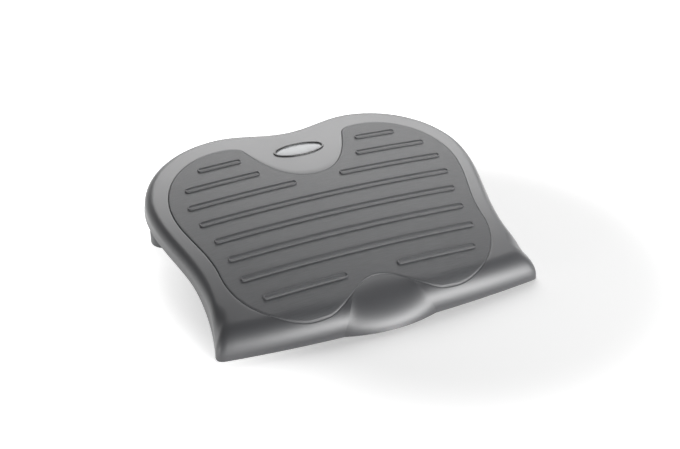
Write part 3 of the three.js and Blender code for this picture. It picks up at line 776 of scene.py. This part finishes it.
# Textured mat: a fine woven-looking relief with streaks along the bars.
def textured_mat(name, colour, roughness):
    mat = bpy.data.materials.new(name)
    mat.use_nodes = True
    nodes, links = mat.node_tree.nodes, mat.node_tree.links
    shader = nodes["Principled BSDF"]
    where = nodes.new("ShaderNodeTexCoord")
    stretch = nodes.new("ShaderNodeMapping")
    stretch.inputs["Scale"].default_value = (60, 900, 60)
    streaks = nodes.new("ShaderNodeTexNoise")
    streaks.inputs["Scale"].default_value = 1
    streaks.inputs["Detail"].default_value = 3
    tones = nodes.new("ShaderNodeValToRGB")
    tones.color_ramp.elements[0].position = 0.3
    tones.color_ramp.elements[0].color = (*[c * 0.86 for c in colour], 1)
    tones.color_ramp.elements[1].position = 0.7
    tones.color_ramp.elements[1].color = (*[c * 1.14 for c in colour], 1)
    threads = []
    for axis in ("X", "Y"):
        thread = nodes.new("ShaderNodeTexWave")
        thread.bands_direction = axis
        thread.inputs["Scale"].default_value = 210
        thread.inputs["Distortion"].default_value = 1.5
        thread.inputs["Detail Scale"].default_value = 2
        links.new(where.outputs["Object"], thread.inputs["Vector"])
        threads.append(thread)
    weave = nodes.new("ShaderNodeMath")
    weave.operation = "MULTIPLY"
    bump = nodes.new("ShaderNodeBump")
    bump.inputs["Strength"].default_value = 0.5
    bump.inputs["Distance"].default_value = 0.00025
    shader.inputs["Roughness"].default_value = roughness
    shader.inputs["Specular IOR Level"].default_value = 0.8
    links.new(where.outputs["Object"], stretch.inputs["Vector"])
    links.new(stretch.outputs["Vector"], streaks.inputs["Vector"])
    links.new(streaks.outputs["Fac"], tones.inputs["Fac"])
    links.new(tones.outputs["Color"], shader.inputs["Base Color"])
    links.new(threads[0].outputs["Fac"], weave.inputs[0])
    links.new(threads[1].outputs["Fac"], weave.inputs[1])
    links.new(weave.outputs[0], bump.inputs["Height"])
    links.new(bump.outputs["Normal"], shader.inputs["Normal"])
    return mat


finished(pad, textured_mat("grey_tread_plastic", (0.050, 0.051, 0.055), 0.48),
         "platform", "pad", "tread_pad")

# Badge
# A black gloss oval bezel pressed into its pocket, and a bare satin metal plate inside it.
bezel_width, bezel_height, bezel_round = 0.0028, 0.0026, 0.0008
plate_thickness, plate_lip, plate_sink = 0.0014, 0.0003, 0.0008
low = seat_gap - badge_pocket
shoulder = low + bezel_height - bezel_round
rings = [oval_ring(0, low), oval_ring(0, shoulder)]
for angle in np.radians([30, 60, 90, 120, 150]):
    inset = bezel_width / 2 * (1 - cos(angle))
    rings.append(oval_ring(inset, shoulder + bezel_round * sin(angle)))
rings += [oval_ring(bezel_width, shoulder), oval_ring(bezel_width, low)]
bezel = lofted("badge_rim", rings, hollow=True)
bezel.data.transform(badge_plane)
softened(bezel, 0)
finished(bezel, moulded_plastic("black_gloss_plastic", (0.012, 0.012, 0.013), 0.2, relief=0.05),
         "platform", "bezel", "badge_bezel")

plate_edge = bezel_width + seat_gap
plate_crown = ((0.0001, 0.0001), (0.0004, 0), (0.002, -0.0003), (0.005, -0.0006), (0.009, -0.0008))
rings = [oval_ring(plate_edge, low), oval_ring(plate_edge, low + plate_thickness - plate_lip)]
for inset, height in plate_crown:
    rings.append(oval_ring(plate_edge + inset, low + plate_thickness - height - plate_sink))
plate = lofted("badge_plate_disc", rings)
plate.data.transform(badge_plane)
softened(plate, 0)


def satin_metal(name, colour, roughness, streak):
    metal = bpy.data.materials.new(name)
    metal.use_nodes = True
    nodes, links = metal.node_tree.nodes, metal.node_tree.links
    shader = nodes["Principled BSDF"]
    shader.inputs["Metallic"].default_value = 1
    where = nodes.new("ShaderNodeTexCoord")
    stretch = nodes.new("ShaderNodeMapping")
    stretch.inputs["Scale"].default_value = streak
    lines = nodes.new("ShaderNodeTexNoise")
    lines.inputs["Scale"].default_value = 1
    lines.inputs["Detail"].default_value = 3
    gloss = nodes.new("ShaderNodeMapRange")
    gloss.inputs["To Min"].default_value = roughness - 0.06
    gloss.inputs["To Max"].default_value = roughness + 0.1
    tones = nodes.new("ShaderNodeValToRGB")
    tones.color_ramp.elements[0].color = (*[c * 0.85 for c in colour], 1)
    tones.color_ramp.elements[1].color = (*colour, 1)
    bump = nodes.new("ShaderNodeBump")
    bump.inputs["Strength"].default_value = 0.15
    bump.inputs["Distance"].default_value = 0.00005
    links.new(where.outputs["Object"], stretch.inputs["Vector"])
    links.new(stretch.outputs["Vector"], lines.inputs["Vector"])
    links.new(lines.outputs["Fac"], tones.inputs["Fac"])
    links.new(tones.outputs["Color"], shader.inputs["Base Color"])
    links.new(lines.outputs["Fac"], gloss.inputs["Value"])
    links.new(gloss.outputs["Result"], shader.inputs["Roughness"])
    links.new(lines.outputs["Fac"], bump.inputs["Height"])
    links.new(bump.outputs["Normal"], shader.inputs["Normal"])
    return metal


finished(plate, satin_metal("satin_badge_metal", (0.36, 0.365, 0.37), 0.55, (150, 4000, 4000)),
         "platform", "plate", "badge_plate")

# Legs
# Two round plastic legs, moulded with a wide foot, a hollow stem with three grooves for the
# spring and a flange that stops them in their guides.
foot_radius, foot_height, foot_round = 0.019, 0.020, 0.003
stem_radius, stem_bore, stem_floor, neck_round = 0.0085, 0.0055, 0.004, 0.0004
middle_radius, groove_offset = 0.002, 0.0003
leg_travel, groove_depth, wire_radius, slide_gap = 0.016, 0.0012, 0.001, 0.0003
guide_low = floor_gap + foot_height + leg_travel + slide_gap
lip_length, guide_length = 0.011, 0.040
wire_height = guide_low + 0.006
flange_radius, flange_height = 0.0102, 0.004
foot_pad_radius = 0.014
flange_low = guide_low + lip_length + leg_travel + slide_gap


def turned(name, profile, x=0.0, y=0.0, sides=64, hollow=False):
    angles = 2 * pi * shares(sides)
    circle = np.c_[np.cos(angles), np.sin(angles)]
    rings = [at_height((x, y) + radius * circle, height) for radius, height in profile]
    return lofted(name, rings, hollow)


def arc(centre_radius, centre_height, radius, from_angle, to_angle, count=7):
    angles = np.radians(np.linspace(from_angle, to_angle, count))
    return [(centre_radius + radius * cos(a), centre_height + radius * sin(a)) for a in angles]


leg_plastic = moulded_plastic("grey_leg_plastic", (0.15, 0.153, 0.16), 0.42)
for name, side in (("left", -1), ("right", 1)):
    foot_top = floor_gap + foot_height
    socket = rubber_thickness + seat_gap
    profile = [(middle_radius, socket), (foot_pad_radius + seat_gap, socket),
               (foot_pad_radius + seat_gap, floor_gap)]
    profile += arc(foot_radius - foot_round, floor_gap + foot_round, foot_round, -90, 0)
    profile += arc(foot_radius - foot_round, foot_top - foot_round, foot_round, 0, 90)
    profile += arc(stem_radius + neck_round, foot_top + neck_round, neck_round, 270, 180, 5)
    for height in (wire_height - leg_travel, wire_height, wire_height + leg_travel):
        half = wire_radius + slide_gap
        profile += [(stem_radius, height - half)]
        profile += arc(stem_radius + groove_offset, height, half, 240, 120, 5)
        profile += [(stem_radius, height + half)]
    flange_top = flange_low + flange_height
    profile += [(stem_radius, flange_low), (flange_radius, flange_low), (flange_radius, flange_top)]
    profile += [(stem_bore, flange_top), (stem_bore, foot_top + stem_floor)]
    profile += [(middle_radius, foot_top + stem_floor)]
    leg = turned(f"sliding_leg_{name}", profile, side * leg_x, leg_y)
    softened(leg, 0.0003)
    finished(leg, leg_plastic, f"{name}_leg", "leg", f"leg_{name}")

# Leg guides
# A moulded sleeve round each leg with a narrow lip at its lower end, three webbed ears that are
# screwed up against the platform's bosses, and a grooved lug that holds the spring.
guide_wall, spool_reach, spool_height, web_width = 0.0022, 0.022, 0.007, 0.009
ear_radius, ear_root, web_thickness, web_bite, overrun = 0.0058, 0.006, 0.002, 0.0003, 0.001
lug_middle = 0.002
# An odd number of sides keeps the sleeve's corners off the lug's middle plane.
guide_sides = 63
arm_offset = stem_radius - groove_depth + slide_gap + wire_radius
lip_bore, sleeve_bore = stem_radius + slide_gap, flange_radius + slide_gap
sleeve_radius = sleeve_bore + guide_wall
core_radius = sleeve_radius - 2 * web_bite
guide_top, lip_top = guide_low + guide_length, guide_low + lip_length
ear_plate_top = ear_plate_low + ear_plate_height
ear_hole_heights = (0.05, 0.09)
slot_half = wire_radius + slide_gap
slot_low, slot_top = wire_height - slot_half, wire_height + slot_half
lug_low, lug_top = wire_height - spool_height / 2, wire_height + spool_height / 2
lug_radius, lug_neck = arm_offset + wire_radius, arm_offset - slot_half


# What grows on the sleeve stops inside its wall.
def cored(piece):
    core = rod("leg_room", core_radius, guide_low - overrun, guide_top + overrun, 0, 0, guide_sides)
    return combined(piece, "DIFFERENCE", [core])


guide = turned("leg_guide", [
    (lip_bore, guide_low), (sleeve_radius, guide_low), (sleeve_radius, guide_top),
    (sleeve_bore, guide_top), (sleeve_bore, lip_top), (lip_bore, lip_top)], sides=guide_sides, hollow=True)
lug = turned("spring_lug", [
    (lug_middle, lug_low), (lug_radius, lug_low), (lug_radius, slot_low), (lug_neck, slot_low),
    (lug_neck, slot_top), (lug_radius, slot_top), (lug_radius, lug_top), (lug_middle, lug_top)],
    -spool_reach, 0, 48)
lug_web = block("lug_web", (-spool_reach, -web_width / 2, lug_low), (-ear_root, web_width / 2, lug_top))
around, holes = [cored(combined(lug, "UNION", [lug_web]))], []
ear_round = [(ear_reach + ear_radius * cos(a), ear_radius * sin(a))
             for a in np.linspace(-pi / 2, pi / 2, 17)]
ear_plan = np.array([(ear_root, -ear_radius), *ear_round, (ear_root, ear_radius)])
ear_end = ear_reach - ear_radius
web = [(ear_root, ear_plate_low + overrun), (ear_root, lip_top), (sleeve_radius - web_bite, lip_top),
       (ear_end, ear_plate_low), (ear_end, ear_plate_low + overrun)]
for turn in np.radians(ear_angles):
    ear = lofted("ear", [at_height(ear_plan, ear_plate_low), at_height(ear_plan, ear_plate_top)])
    sides = [[(x, y, z) for x, z in web] for y in (-web_thickness / 2, web_thickness / 2)]
    combined(ear, "UNION", [lofted("ear_web", sides)])
    around.append(moved(cored(ear), turn))
    holes.append(moved(rod("ear_hole", screw_radius + seat_gap, *ear_hole_heights, ear_reach, 0, 24), turn))
slots = [block("arm_slot", (-sleeve_radius - overrun, edge * arm_offset - slot_half, slot_low),
               (sleeve_radius + overrun, edge * arm_offset + slot_half, slot_top)) for edge in (-1, 1)]
combined(guide, "UNION", around)
combined(guide, "DIFFERENCE", [*holes, *slots])
softened(guide, 0.0002)


def placed_copy(piece, name, side, place):
    twin = piece.copy()
    twin.data = piece.data.copy()
    twin.name = twin.data.name = name
    scene.collection.objects.link(twin)
    twin.data.transform(Matrix.Translation(place) @ Matrix.Diagonal((side, 1, 1, 1)))
    if side < 0:
        twin.data.flip_normals()
    return twin


guide_plastic = moulded_plastic("dark_guide_plastic", (0.042, 0.043, 0.046), 0.45)
for name, side in (("left", -1), ("right", 1)):
    twin = placed_copy(guide, f"guide_sleeve_{name}", side, (side * leg_x, leg_y, 0))
    finished(twin, guide_plastic, "platform", "guide", f"leg_guide_{name}")
bpy.data.objects.remove(guide)

# Detent springs
# Spring steel wire bent to a U round the guide's lug; its two arms lie in a groove of the leg and
# snap into the next one when the platform's height is changed.
arm_end = sleeve_radius + 2 * wire_radius - slide_gap
bend = [(arm_offset * cos(a) - spool_reach, arm_offset * sin(a))
        for a in np.linspace(pi / 2, 3 * pi / 2, 25)]
arm = np.linspace(arm_end, -spool_reach, 9)[:-1]
wire_path = np.array([(x, arm_offset) for x in arm] + bend + [(x, -arm_offset) for x in arm[::-1]])
along = np.gradient(wire_path, axis=0)
along /= np.linalg.norm(along, axis=1)[:, None]
rings = []
for (x, y), (run, rise) in zip(wire_path, along):
    rings.append([(x - rise * wire_radius * cos(a), y + run * wire_radius * cos(a),
                   wire_height + wire_radius * sin(a)) for a in 2 * pi * shares(16)])
wire = softened(lofted("spring_wire", rings), 0, 60)
steel = satin_metal("bright_spring_steel", (0.55, 0.56, 0.58), 0.3, (700, 2500, 2500))
for name, side in (("left", -1), ("right", 1)):
    twin = placed_copy(wire, f"spring_wire_{name}", side, (side * leg_x, leg_y, 0))
    finished(twin, steel, "platform", "steel", f"detent_spring_{name}")
bpy.data.objects.remove(wire)

# Guide screws
# Six self-tapping screws with pan heads and cross recesses, zinc plated, driven from below through
# the guides' ears into the platform's bosses.
head_radius, head_height, head_round = 0.004, 0.0024, 0.0013
drive_reach, drive_width, drive_depth = 0.0019, 0.0007, 0.0014
thread_count, thread_pitch, thread_start, thread_depth, thread_rise = 8, 0.00115, 0.001, 0.0005, 0.0004
head_middle, point_length, point_radius = 0.0005, 0.0018, 0.0003
head_top = ear_plate_low - seat_gap
head_low = head_top - head_height
profile = [(head_middle, head_low)]
profile += arc(head_radius - head_round, head_low + head_round, head_round, -90, 0)
profile += [(head_radius, head_top), (screw_radius, head_top)]
for step in range(thread_count):
    height = head_top + thread_start + step * thread_pitch
    profile += [(screw_radius - thread_depth, height), (screw_radius, height + thread_rise)]
profile += [(screw_radius - thread_depth, head_top + screw_length - point_length),
            (point_radius, head_top + screw_length)]
screw = turned("guide_screw", profile, sides=32)
recess = [block("drive", (-long / 2, -wide / 2, head_low - overrun),
                (long / 2, wide / 2, head_low + drive_depth))
          for long, wide in ((2 * drive_reach, drive_width), (drive_width, 2 * drive_reach))]
combined(screw, "DIFFERENCE", recess)
softened(screw, 0.0001)
zinc = satin_metal("zinc_plated_steel", (0.6, 0.6, 0.59), 0.34, (900, 900, 900))
for name, side in (("left", -1), ("right", 1)):
    for count, (x, y) in enumerate(screw_places(side), 1):
        twin = placed_copy(screw, f"fixing_screw_{name}_{count}", 1, (x, y, 0))
        finished(twin, zinc, "platform", "steel", f"guide_screw_{name}_{count}")
bpy.data.objects.remove(screw)

# Foot pads
# Round rubber pads pressed into the feet, with a low raised ring on the underside. They carry
# the back of the platform on the floor.
ring_height, sole_round = 0.0006, 0.0005


def soft_rubber(name):
    return moulded_plastic(name, (0.02, 0.02, 0.021), 0.72, grain=900, relief=0.5)


rubber = soft_rubber("black_rubber")
for name, side in (("left", -1), ("right", 1)):
    profile = [(0.001, ring_height), (0.008, ring_height), (0.0086, 0), (0.0095, 0),
               (0.0101, ring_height), (0.0114, ring_height), (0.012, 0)]
    profile += [(foot_pad_radius - sole_round, 0), (foot_pad_radius, sole_round)]
    profile += [(foot_pad_radius, rubber_thickness), (0.001, rubber_thickness)]
    sole = turned(f"foot_sole_{name}", profile, side * leg_x, leg_y)
    softened(sole, 0.00015)
    finished(sole, rubber, f"{name}_leg", "rubber", f"foot_pad_{name}")

# Front grips
# Rubber strips with round ends in the shelf pockets, grooved across where they meet the floor.
# They keep the front edge from sliding.
slit_half, slit_depth, slit_reach, slit_count = 0.0006, 0.0007, 0.028, 15

for name, side in (("left", -1), ("right", 1)):
    strip = capsule_block(f"grip_strip_{name}", grip_length, grip_width, 0, rubber_thickness)
    cuts = [block("slit", (x - slit_half, -grip_width, -overrun), (x + slit_half, grip_width, slit_depth))
            for x in np.linspace(-slit_reach, slit_reach, slit_count)]
    combined(strip, "DIFFERENCE", cuts)
    moved(strip, side * grip_turn, (side * grip_x, grip_y, 0))
    softened(strip, 0.00015)
    finished(strip, rubber, "platform", "rubber", f"front_grip_{name}")
